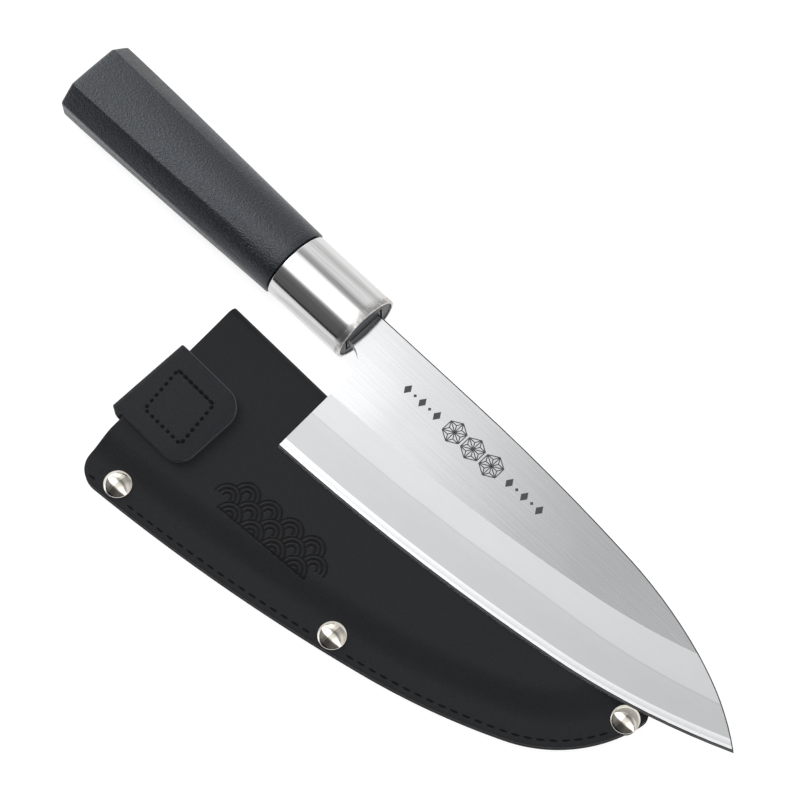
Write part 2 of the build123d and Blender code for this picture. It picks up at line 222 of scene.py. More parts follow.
def finished(material, face, rough, more, relief=None):
    """The material, once its principled shader has its colour, roughness and other inputs."""
    tree = material.node_tree
    inputs = {"Base Color": face, "Roughness": rough, **more}
    if relief:
        inputs["Normal"] = relief.outputs[0]
    plug(tree, next(n for n in tree.nodes if n.type == "BSDF_PRINCIPLED"), inputs)
    return material


def tone(colour_value, factor):
    """A colour made lighter or darker by a factor."""
    return tuple(min(1.0, c * factor) for c in colour_value[:3]) + (1.0,)


def dress(node_name, *materials):
    """Gives a CAD node its materials."""
    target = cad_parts[node_name]
    target.data.materials.clear()
    for material in materials:
        target.data.materials.append(material)
    return target


def leather_material(name, face, grain, lightness=1.0):
    """Coated split leather, embossed with a fine pebble: matt, and dark where it is pressed, partly from
    burnishing and partly as painted shade in the pressed lines.
    """
    material, node = new_material(name)
    place = node("ShaderNodeTexCoord").outputs["Object"]
    pebble = node("ShaderNodeTexVoronoi", {"Vector": place, "Scale": 1 / grain}, feature="SMOOTH_F1")
    fleck = node(
        "ShaderNodeTexNoise", {"Vector": place, "Scale": 0.8 / grain, "Detail": 2.0, "Roughness": 0.7}
    )
    broad = node("ShaderNodeTexNoise", {"Vector": place, "Scale": 0.04 / MM, "Detail": 3.0}).outputs["Fac"]
    low, high, dark = (tone(face, part * lightness) for part in (0.55, 1.45, 0.12))
    flecked = node("ShaderNodeMix", {0: fleck.outputs["Fac"], 6: low, 7: high}, **MIXED)
    clouded = node("ShaderNodeMapRange", {"Value": broad, "To Min": 0.88, "To Max": 1.12})
    mix = node("ShaderNodeMix", {0: 1.0, 6: flecked.outputs[2], 7: clouded.outputs[0]}, **MULTIPLIED)
    # Where it is pressed the leather turns dark: partly burnishing, partly painted shade in the pressed lines
    pressed = node("ShaderNodeAttribute", attribute_name="pressed")
    burnished_and_shaded = node("ShaderNodeMix", {0: pressed.outputs["Fac"], 6: mix.outputs[2], 7: dark}, **MIXED)
    rough = node("ShaderNodeMapRange", {"Value": broad, "To Min": 0.62, "To Max": 0.72})
    bump = node(
        "ShaderNodeBump", {"Height": pebble.outputs["Distance"], "Strength": 0.7, "Distance": 0.1 * MM}
    )
    more = {"Specular IOR Level": 0.2, "IOR": 1.5}
    return finished(material, burnished_and_shaded.outputs[2], rough.outputs[0], more, bump)


def speckled_material(name, face, tones, texture, pattern, rough, more, relief=(), turn=0.0):
    """A material whose tone follows one texture, which may also be turned and raise the surface."""
    material, node = new_material(name)
    place = node("ShaderNodeTexCoord").outputs["Object"]
    if turn:
        place = node("ShaderNodeMapping", {"Vector": place, "Rotation": (0, 0, turn)}).outputs[0]
    kind, output = texture
    value = node(kind, {"Vector": place, **pattern}).outputs[output]
    low, high = (tone(face, factor) for factor in tones)
    mix = node("ShaderNodeMix", {0: value, 6: low, 7: high}, **MIXED)
    bump = None
    if relief:
        strength, depth = relief
        bump = node("ShaderNodeBump", {"Height": value, "Strength": strength, "Distance": depth})
    return finished(material, mix.outputs[2], rough, more, bump)


def cut_edge_material(name, face):
    """Cut edge of split leather, inked: matt and fibrous, its fibres 0.4 mm apart."""
    pattern, more = {"Scale": 2.5 / MM, "Detail": 6.0}, {"Specular IOR Level": 0.15}
    return speckled_material(name, face, (0.6, 1.4), NOISE, pattern, 0.8, more, (0.5, 0.1 * MM))


def thread_material(face):
    """Waxed polyester thread, twisted: dark with a slight wax shine."""
    pattern, more = {"Scale": 0.5 / MM, "Distortion": 1.0}, {"Specular IOR Level": 0.15}
    relief = (0.5, 0.08 * MM)
    return speckled_material(
        "waxed_thread", face, (0.7, 1.5), TWIST, pattern, 0.8, more, relief, turn=radians(40)
    )


def tape_material(name, face):
    """Woven nylon tape with its pile: matt and fuzzy."""
    pattern, more = {"Scale": 1.5 / MM}, {"Sheen Weight": 0.3}
    return speckled_material(name, face, (1.4, 0.6), PILE, pattern, 0.85, more, (0.9, 0.25 * MM))


def nose_material(face):
    """Face of the resin nose: the same resin, cut off square and painted a lighter grey, a painted reflection
    of the bright blade and floor before it.
    """
    pattern = {"Scale": 1.5 / MM, "Detail": 3.0}
    return speckled_material("nose_resin_painted_reflection", face, (0.7, 1.3), NOISE, pattern, 0.45, {})


def etching_material(face):
    """Electrolytic etching on steel: matt dark grey, a little uneven."""
    pattern, more = {"Scale": 3 / MM, "Detail": 3.0}, {"Metallic": 0.6}
    return speckled_material("etched_steel", face, (0.7, 1.3), NOISE, pattern, 0.6, more)


def resin_material(s):
    """Moulded black resin from a spark-eroded mould: an even fine grain that catches the light."""
    material, node = new_material("moulded_resin")
    place = node("ShaderNodeTexCoord").outputs["Object"]
    grain = node(
        "ShaderNodeTexNoise", {"Vector": place, "Scale": 1 / s.resin_grain, "Detail": 3.0, "Roughness": 0.6}
    ).outputs["Fac"]
    peaks = node("ShaderNodeMapRange", {"Value": grain, "From Min": 0.35, "From Max": 0.65}).outputs[0]
    low, high = tone(s.resin_colour, 0.3), tone(s.resin_colour, 2.8)
    mix = node("ShaderNodeMix", {0: peaks, 6: low, 7: high}, **MIXED)
    rough = node("ShaderNodeMapRange", {"Value": peaks, "To Min": 0.36, "To Max": 0.24})
    bump = node("ShaderNodeBump", {"Height": grain, "Strength": 1.0, "Distance": 0.22 * MM})
    more = {"Specular Tint": linear("#f0f6ff"), "IOR": 1.62}
    return finished(material, mix.outputs[2], rough.outputs[0], more, bump)


def drawn_lines(node, place, along, across, detail, roughness=0.5):
    """Fine lines drawn out along a piece: how many come to a metre along it and across it."""
    drawn = node("ShaderNodeMapping", {"Vector": place, "Scale": (along, across, across)})
    noise = {"Vector": drawn.outputs[0], "Scale": 1.0, "Detail": detail, "Roughness": roughness}
    return node("ShaderNodeTexNoise", noise).outputs["Fac"]


def nickel_material(face):
    """Polished nickel plate: clear bands of light, and faint scuffs."""
    material, node = new_material("nickel_plate")
    place = node("ShaderNodeTexCoord").outputs["Object"]
    scuffs = drawn_lines(node, place, 0.06 / MM, 0.9 / MM, 4.0)
    rough = node("ShaderNodeMapRange", {"Value": scuffs, "To Min": 0.06, "To Max": 0.14})
    return finished(material, face, rough.outputs[0], {"Metallic": 1.0})


def knife_place(node):
    """The place in the knife's own frame, for patterns that follow the knife."""
    place = node("ShaderNodeTexCoord").outputs["Object"]
    back = KNIFE.inverted()
    moved = {"Vector": place, "Location": back.translation, "Rotation": back.to_euler()}
    return node("ShaderNodeMapping", moved).outputs[0]


def ferrule_material(face):
    """Polished stainless steel: clear bands of light, drawn out by hairlines, and scuffed by the mouth."""
    material, node = new_material("polished_stainless")
    place = knife_place(node)
    along = node("ShaderNodeSeparateXYZ", {"Vector": place}).outputs["X"]
    hairs = drawn_lines(node, place, 0.04 / MM, 1.8 / MM, 5.0)
    streaks = drawn_lines(node, place, 0.025 / MM, 0.42 / MM, 2.0)
    blotches = node("ShaderNodeTexNoise", {"Vector": place, "Scale": 0.7 / MM, "Detail": 4.0})
    # Scuffed from nowhere at the first place to fully at the second, both from the mouth
    clear, worn_at = -3.2 * MM, -1.6 * MM
    near_mouth = node("ShaderNodeMapRange", {"Value": along, "From Min": clear, "From Max": worn_at})
    scuffed = node(
        "ShaderNodeMath", {0: near_mouth.outputs[0], 1: blotches.outputs["Fac"]}, operation="MULTIPLY"
    ).outputs[0]
    warm = node("ShaderNodeMapRange", {"Value": streaks, "From Min": 0.5, "From Max": 0.68, "To Max": 0.3})
    worn_and_highlit = node("ShaderNodeMix", {0: warm.outputs[0], 6: face, 7: linear("#b8b0ab")}, **MIXED)
    soiled = node("ShaderNodeMapRange", {"Value": scuffed, "From Min": 0.42, "From Max": 0.6, "To Max": 0.55})
    shade = node("ShaderNodeMix", {0: soiled.outputs[0], 6: worn_and_highlit.outputs[2], 7: linear("#8c857c")}, **MIXED)
    rough = node("ShaderNodeMapRange", {"Value": hairs, "To Min": 0.06, "To Max": 0.17})
    rougher = node("ShaderNodeMath", {0: scuffed, 1: 0.35, 2: rough.outputs[0]}, operation="MULTIPLY_ADD")
    bump = node("ShaderNodeBump", {"Height": hairs, "Strength": 0.35, "Distance": 0.01 * MM})
    fine = node(
        "ShaderNodeMapRange",
        {"Value": hairs, "From Min": 0.35, "From Max": 0.65, "To Min": 0.92, "To Max": 1.07},
    )
    drawn_out = node(
        "ShaderNodeVectorMath", {0: shade.outputs[2], "Scale": fine.outputs[0]}, operation="SCALE"
    )
    return finished(material, drawn_out.outputs[0], rougher.outputs[0], {"Metallic": 1.0}, bump)


def steel_material(name, face, marks, contrast, rough, depth, shaded=None):
    """Ground stainless steel: marks holds the spacing of its grinding lines along and across the knife."""
    material, node = new_material(name)
    place = knife_place(node)
    lines = drawn_lines(node, place, 1 / marks[0], 1 / marks[1], 5.0, 0.7)
    cloud = node("ShaderNodeTexNoise", {"Vector": place, "Scale": 0.045 / MM, "Detail": 2.0})
    low, high = tone(face, 1 - contrast), tone(face, 1 + contrast)
    mix = node("ShaderNodeMix", {0: lines, 6: low, 7: high}, **MIXED).outputs[2]
    dull = node(
        "ShaderNodeMapRange", {"Value": cloud.outputs["Fac"], "To Min": rough - 0.03, "To Max": rough + 0.03}
    )
    bump = node("ShaderNodeBump", {"Height": lines, "Strength": 0.3, "Distance": depth})
    shown = shaded(node, place, mix) if shaded else mix
    return finished(material, shown, dull.outputs[0], {"Metallic": 1.0}, bump)


def painted_highlight_by_the_neck(node, place, shade):
    """Makes a steel brighter round a spot beside the neck: a painted highlight."""
    spot, near, far = (7 * MM, -17 * MM, 0), 5 * MM, 26 * MM
    off = node("ShaderNodeVectorMath", {0: place, 1: spot}, operation="SUBTRACT")
    away = node("ShaderNodeVectorMath", {0: off.outputs[0]}, operation="LENGTH").outputs["Value"]
    highlight_gain = node(
        "ShaderNodeMapRange",
        {"Value": away, "From Min": near, "From Max": far, "To Min": 1.12, "To Max": 1.0},
        interpolation_type="SMOOTHSTEP",
    )
    scaled = {0: shade, "Scale": highlight_gain.outputs[0]}
    return node("ShaderNodeVectorMath", scaled, operation="SCALE").outputs[0]


def ramp_shade(node, value, low, high, stops, shade):
    """Multiplies a colour by the greys of a ramp between a low and a high value."""
    part = node("ShaderNodeMapRange", {"Value": value, "From Min": low, "From Max": high})
    ramp = node("ShaderNodeValToRGB", {"Fac": part.outputs[0]}, stops=stops)
    return node("ShaderNodeMix", {0: 1.0, 6: shade, 7: ramp.outputs["Color"]}, **MULTIPLIED).outputs[2]


def clad(node, place, shade):
    """Makes a steel duller below the wavering line of the cladding, which sinks towards the tip."""
    axes = node("ShaderNodeSeparateXYZ", {"Vector": place})
    heel, tip, heel_height, tip_height = 99 * MM, 164 * MM, 0.67 * MM, 0.306 * MM
    ends = {"From Min": heel, "From Max": tip, "To Min": heel_height, "To Max": tip_height}
    line = node("ShaderNodeMapRange", {"Value": axes.outputs["X"], **ends})
    waver = node("ShaderNodeTexNoise", {"Vector": place, "Scale": 0.09 / MM, "Detail": 3.0})
    reach, softness = 0.05 * MM, 0.5 * MM
    waved = {0: waver.outputs["Fac"], 1: reach, 2: line.outputs[0]}
    wave = node("ShaderNodeMath", waved, operation="MULTIPLY_ADD").outputs[0]
    above = node("ShaderNodeMath", {0: axes.outputs["Z"], 1: wave}, operation="SUBTRACT").outputs[0]
    stops = ((0.0, 0.86), (0.44, 0.88), (0.49, 0.80), (0.54, 0.99), (1.0, 1.0))
    return ramp_shade(node, above, -softness, softness, stops, shade)


def by_height(low, high, stops):
    """A shading of steel by its height over the knife's axis, between two heights."""

    def shaded(node, place, shade):
        height = node("ShaderNodeSeparateXYZ", {"Vector": place}).outputs["Z"]
        return ramp_shade(node, height, low, high, stops, shade)

    return shaded


def flat_material(s, face):
    """Flat of the blade, brushed lengthwise: a long sheen, and a painted highlight beside the neck."""
    marks = (30 * MM, s.brush)
    return steel_material("brushed_blade_steel", face, marks, 0.19, 0.14, 0.008 * MM, painted_highlight_by_the_neck)


def bevel_material(face):
    """Broad bevel, satin: dull near the edge, and clearer past the wavering line of the cladding."""
    marks = (6.0 * MM, 0.5 * MM)
    return steel_material("satin_bevel_steel", face, marks, 0.05, 0.46, 0.01 * MM, clad)


def honed_material(s, face):
    """Small bevel, honed across: white at the edge, and softly greyer up to the broad bevel."""
    greyer = by_height(FACET_TOP, HONED_TOP, ((0.0, 1.0), (0.26, 1.0), (0.38, 0.76), (1.0, 0.62)))
    return steel_material("honed_bevel_steel", face, (s.grind, 9 * MM), 0.12, 0.34, 0.02 * MM, greyer)


def facet_material(s, face):
    """Edge facet: a bright strip between two painted dark lines, which stand in for shade at its borders."""
    stops = ((0.0, 0.1), (0.22, 0.2), (0.35, 1.0), (0.6, 1.0), (0.72, 0.1), (1.0, 0.05))
    painted_dark_lines = by_height(EDGE, FACET_TOP, stops)
    return steel_material("edge_facet_steel", face, (s.grind, 3 * MM), 0.2, 0.3, 0.02 * MM, painted_dark_lines)


# Meshes


def finish_piece(name, bm, materials, smooth_angle=35.0):
    """Turns a bmesh into a shown object, smooth but for its sharp edges; no angle keeps its own."""
    mesh = bpy.data.meshes.new(name)
    bm.to_mesh(mesh)
    bm.free()
    if smooth_angle:
        mesh.shade_smooth()
        mesh.set_sharp_from_angle(angle=radians(smooth_angle))
    for material in materials:
        mesh.materials.append(material)
    piece = bpy.data.objects.new(name, mesh)
    bpy.context.scene.collection.objects.link(piece)
    return piece


def bevel(bm, geom, offset, segments, affect="EDGES", clamp=False):
    """Rounds edges or corners."""
    bmesh.ops.bevel(
        bm,
        geom=geom,
        offset=offset,
        affect=affect,
        segments=segments,
        profile=0.5,
        material=-1,
        clamp_overlap=clamp,
    )


def block(bm, place, size):
    """A block of a size, put at a place."""
    made = bmesh.ops.create_cube(bm, size=1.0)
    bmesh.ops.transform(bm, verts=made["verts"], matrix=place @ Matrix.Diagonal((*size, 1.0)))


def skin(columns, rows, place, cut_row=None):
    """A grid of quads whose points are moved to place(column, row); the faces of the cut row get slot 1."""
    bm = bmesh.new()
    made = bmesh.ops.create_grid(bm, x_segments=columns, y_segments=rows, size=1.0)
    if cut_row is not None:
        for face in bm.faces:
            if abs((face.calc_center_median().y + 1) / 2 * rows - cut_row - 0.5) < 1.2:
                face.material_index = 1
    for vert in made["verts"]:
        column = round((vert.co.x + 1) / 2 * columns)
        row = round((vert.co.y + 1) / 2 * rows)
        vert.co = place(column, row % rows)
    bmesh.ops.remove_doubles(bm, verts=bm.verts, dist=0.002 * MM)
    bmesh.ops.holes_fill(bm, edges=[e for e in bm.edges if e.is_boundary], sides=0)
    bmesh.ops.recalc_face_normals(bm, faces=bm.faces)
    return bm


def quarter_round(radius, steps):
    """The steps round a quarter circle, from deep in at its start to level at its end."""
    turns = [pi / 2 * k / steps for k in range(steps + 1)]
    return [(radius * (1 - cos(turn)), radius * (1 - sin(turn))) for turn in turns]


def solids_of(node_name):
    """The separate solids of a CAD node, each as the list of its points."""
    bm = bmesh.new()
    bm.from_mesh(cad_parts[node_name].data)
    bmesh.ops.remove_doubles(bm, verts=bm.verts, dist=0.001 * MM)
    solids, seen = [], set()
    for start in bm.verts:
        if start.index in seen:
            continue
        seen.add(start.index)
        waiting, points = [start], []
        while waiting:
            vert = waiting.pop()
            points.append(vert.co.copy())
            for edge in vert.link_edges:
                other = edge.other_vert(vert)
                if other.index not in seen:
                    seen.add(other.index)
                    waiting.append(other)
        solids.append(points)
    bm.free()
    return solids


def middle_of(points):
    """The middle of the box around some points, and its two ends."""
    low = Vector([min(p[i] for p in points) for i in range(3)])
    high = Vector([max(p[i] for p in points) for i in range(3)])
    return (low + high) / 2, low, high


def heading_of(points, middle):
    """The direction of a long solid, seen from above."""
    xx = sum((p.x - middle.x) ** 2 for p in points)
    yy = sum((p.y - middle.y) ** 2 for p in points)
    xy = sum((p.x - middle.x) * (p.y - middle.y) for p in points)
    return atan2(2 * xy, xx - yy) / 2


# Outline of the sheath, in its own plane: x from the mouth, y from the fold


def turned(vector, angle):
    """A flat vector, turned by an angle."""
    return Vector(
        (vector.x * cos(angle) - vector.y * sin(angle), vector.x * sin(angle) + vector.y * cos(angle))
    )


def arc_points(start, heading, end, steps):
    """Points of the arc that leaves the start along the heading and meets the end, and its last heading."""
    heading = heading.normalized()
    side = Vector((-heading.y, heading.x))
    chord = end - start
    centre = start + side * (chord.length_squared / (2 * chord.dot(side)))
    sweep = 2 * atan2(chord.dot(side), chord.dot(heading))
    points = [centre + turned(start - centre, sweep * step / steps) for step in range(1, steps + 1)]
    return points, turned(heading, sweep)


def seam_line(s):
    """The seam edge from the mouth corner to the tip, three arcs that run into each other."""
    points = [Vector((s.mouth_slant, -s.wide))]
    heading = Vector((1, 0.09))
    for long, wide in ((0.617, -0.741), (0.856, -0.520), (1, 0)):
        more, heading = arc_points(points[-1], heading, Vector((long * s.long, wide * s.wide)), 60)
        points += more
    return points


def walk(points, distance):
    """The place and direction at a distance along a line of points."""
    for a, b in zip(points, points[1:]):
        step = (b - a).length
        if distance <= step:
            return a + (b - a) * (distance / step), (b - a).normalized()
        distance -= step
    return points[-1].copy(), (points[-1] - points[-2]).normalized()


def line_length(points):
    """The length of a line of points."""
    return sum((b - a).length for a, b in zip(points, points[1:]))


def cut_line(points, distance):
    """The first stretch of a line of points, as long as the distance."""
    kept = [points[0]]
    for a, b in zip(points, points[1:]):
        step = (b - a).length
        if distance <= step:
            return kept + [a + (b - a) * (distance / step)]
        distance -= step
        kept.append(b)
    return kept


def rounded(before, after, radius, steps):
    """Two lines that meet in a corner, joined by a round of the radius."""
    turn = (before[-1] - before[-2]).angle(after[1] - after[0])
    reach = radius * tan(turn / 2)
    start, start_heading = walk(before[::-1], reach)
    end, end_heading = walk(after, reach)
    turn = (-start_heading).angle(end_heading)
    handle = 4 / 3 * tan(turn / 4) * radius
    curve = interpolate_bezier(start, start - start_heading * handle, end - end_heading * handle, end, steps)
    kept_before = cut_line(before, line_length(before) - reach)
    kept_after = cut_line(after[::-1], line_length(after) - reach)[::-1]
    return kept_before[:-1] + [Vector(p[:2]) for p in curve] + kept_after[1:]


def sheath_outline(s):
    """The free edge of the sheath from the fold down its mouth, along the seam and round to the fold."""
    seam = seam_line(s)
    mouth = [Vector((0, 0)), seam[0]]
    fold = [seam[-1], Vector((0, 0))]
    return rounded(rounded(mouth, seam, s.mouth_corner, 16), fold, s.tip_corner, 12)


def smooth_step(value):
    """A soft rise from 0 to 1."""
    value = min(1.0, max(0.0, value))
    return value * value * (3 - 2 * value)


# The pressed field of waves: its middle and lean, the box it lies in, its rows and the rings of one wave
WAVE_MIDDLE, WAVE_LEAN = Vector((63.5 * MM, -43.0 * MM)), radians(5.0)
PRESS_LOW, PRESS_HIGH = Vector((38 * MM, -54 * MM)), Vector((89 * MM, -32 * MM))
WAVES_IN_ROWS, WAVE_RINGS = (4, 5, 4), (0.94, 0.62, 0.30)
# The pressed field lies on the level part of the front, above this height
LEVEL_PART = 6.4 * MM
PRESSED_LIP = 0.07 * MM


def wave_depth(x, y, s):
    """How strongly the wave ornament is pressed at a place of the front, and its raised lip beside it."""
    dx, dy = x - WAVE_MIDDLE.x, y - WAVE_MIDDLE.y
    along = dx * cos(WAVE_LEAN) + dy * sin(WAVE_LEAN)
    up = -dx * sin(WAVE_LEAN) + dy * cos(WAVE_LEAN)
    radius, step = s.wave_radius, 0.9 * s.wave_radius
    for row, count in enumerate(WAVES_IN_ROWS):
        base = (row - 1.5) * step
        if up < base - s.press_width / 2:
            continue
        for number in range(count):
            middle = (number - (count - 1) / 2) * 1.9 * radius
            distance = hypot(along - middle, up - base)
            if distance > radius:
                continue
            nearest = min(abs(distance - ring * radius) for ring in WAVE_RINGS)
            if row == 0:
                nearest = min(nearest, abs(up - base))
            line = nearest / (s.press_width / 2)
            return 1 - smooth_step(line - 0.3), smooth_step(line - 0.8) * (1 - smooth_step(line - 1.6))
    return 0.0, 0.0


def press_waves(bm, s, x0, y0):
    """Presses the wave ornament into the front, where the mesh is made finer first."""
    # Each point keeps how deep it is pressed: the mask that darkens the leather there, partly as painted
    # shade
    pressed = bm.verts.layers.float.new("pressed")
    bm.normal_update()
    chosen = set()
    for face in bm.faces:
        c = face.calc_center_median()
        inside = PRESS_LOW.x < c.x - x0 < PRESS_HIGH.x and PRESS_LOW.y < c.y - y0 < PRESS_HIGH.y
        if face.normal.z > 0.8 and c.z > LEVEL_PART and inside:
            chosen.update(face.edges)
    made = bmesh.ops.subdivide_edges(bm, edges=list(chosen), cuts=3, use_grid_fill=True)
    finer = {v for v in made["geom"] if isinstance(v, bmesh.types.BMVert)}
    for vert in finer | {v for e in chosen if e.is_valid for v in e.verts}:
        if vert.co.z > LEVEL_PART:
            depth, lip = wave_depth(vert.co.x - x0, vert.co.y - y0, s)
            vert.co.z += PRESSED_LIP * lip - s.press_depth * depth
            vert[pressed] = depth


def inset_of(point, seam):
    """How far a place lies inside the seam edge."""
    best = 1.0
    for a, b in zip(seam, seam[1:]):
        run = b - a
        part = min(1.0, max(0.0, (point - a).dot(run) / run.length_squared))
        best = min(best, (point - a - run * part).length)
    return best


def cad_of_mouth(s):
    """Where the corner of fold and mouth stands in the row frame."""
    return -s.long / 2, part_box("sheath_leather")[1].y


class DEBA_OT_sheath(bpy.types.Operator):
    """Builds the folded leather of the sheath, with its welt"""

    bl_idname = "deba.sheath"
    bl_label = "Sheath Leather"

    def execute(self, context):
        s = context.scene.deba_sheath
        stations, middle_rows, fold_rows = 236, 56, 14
        # Rows near the free edge by their inset in millimetres, and how far the first two are eased down
        band = [0.0, 0.1, 0.32, 1.1, 2.1, 3.1, 4.5, 6.2]
        edge_drop = [0.32 * MM, 0.1 * MM]
        radius = s.height / 2
        outline = sheath_outline(s)
        seam = seam_line(s)[::6]
        first = next(i for i, p in enumerate(outline) if p.y <= -radius)
        lower = [Vector((s.mouth_slant * radius / s.wide, -radius))] + outline[first:]
        last = [i for i in range(len(lower) - 1) if lower[i].y < -radius <= lower[i + 1].y][-1]
        a, b = lower[last], lower[last + 1]
        free_edge = lower[: last + 1] + [a + (b - a) * ((-radius - a.y) / (b.y - a.y))]
        total = line_length(free_edge)
        tip_part = [p for p in outline[-40:] if p.y >= -radius]

        def tip_x(y):
            """Where the outline ends at the tip, at a depth from the fold."""
            x = free_edge[-1].x
            for p, q in zip(tip_part, tip_part[1:]):
                if p.y <= y <= q.y and q.y > p.y:
                    x = p.x + (q.x - p.x) * (y - p.y) / (q.y - p.y)
            return x

        def height_at(point):
            """Height of the front over a place: low on the welt, and up a slope to the pocket."""
            # The soft slope starts on the welt and ends past its own run, by these two lengths
            lead, longer = 1.5 * MM, 2 * MM
            into = (inset_of(point, seam) - s.welt_width + lead) / (s.slope_run + longer)
            return s.seam_height + (s.height - s.seam_height) * smooth_step(into)

        fold_start, fold_end = free_edge[0].x, free_edge[-1].x
        # Near the tip the leaf is too short for the whole band, which then draws together
        band_room = 14 * MM
        leaf = []
        for number in range(stations + 1):
            edge, heading = walk(free_edge, total * number / stations)
            inward = Vector((-heading.y, heading.x))
            root = Vector((fold_start + (fold_end - fold_start) * number / stations, -radius))
            room = min(1.0, (root - edge).length / band_room)
            row = [edge + inward * inset * MM * room for inset in band]
            inner = row[-1]
            row += [inner + (root - inner) * k / middle_rows for k in range(1, middle_rows + 1)]
            leaf.append(row)
        top = [[height_at(p) for p in row] for row in leaf]
        leaf_rows = len(leaf[0]) - 1
        x0, y0 = cad_of_mouth(s)
        side = 2 * (leaf_rows + 1) + fold_rows - 1

        def face_point(column, row, inner):
            """A point of the outer face, or of the inner face, from the front's free edge to the back's."""
            skin_depth = s.leather if inner else 0.0
            fold_row = row - leaf_rows
            if 0 < fold_row < fold_rows:
                angle = pi / 2 - pi * fold_row / fold_rows
                y = -radius + radius * cos(angle)
                half = top[column][leaf_rows] / 2
                start = -y * s.mouth_slant / s.wide
                x = start + (tip_x(y) - start) * column / stations
                y = -radius + (radius - skin_depth) * cos(angle)
                return Vector((x0 + x, y0 + y, half + (half - skin_depth) * sin(angle)))
            front = fold_row <= 0
            number = row if front else 2 * leaf_rows + fold_rows - row
            point = leaf[column][number]
            depth = edge_drop[number] if number < len(edge_drop) else 0.0
            depth = skin_depth - depth if inner else depth
            z = top[column][number] - depth if front else depth
            return Vector((x0 + point.x, y0 + point.y, z))

        def place(column, row):
            """The outer face from front to back, and then the inner face from back to front."""
            if row < side:
                return face_point(column, row, False)
            return face_point(column, 2 * side - 1 - row, True)

        bm = skin(stations, 2 * side, place, side - 1)
        press_waves(bm, s, x0, y0)
        leather = leather_material("calendered_leather", s.leather_colour, s.grain)
        cut = cut_edge_material("cut_leather_edge", s.edge_colour)
        piece = finish_piece("sheath_folded_leather", bm, [leather, cut])
        # The ferrule mirrors an empty white studio, so nothing of the sheath shows in the metal
        piece.visible_glossy = False
        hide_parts("sheath_leather")
        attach(piece, "sheath")
        dress("edge_welt", cut).visible_glossy = False
        return {"FINISHED"}


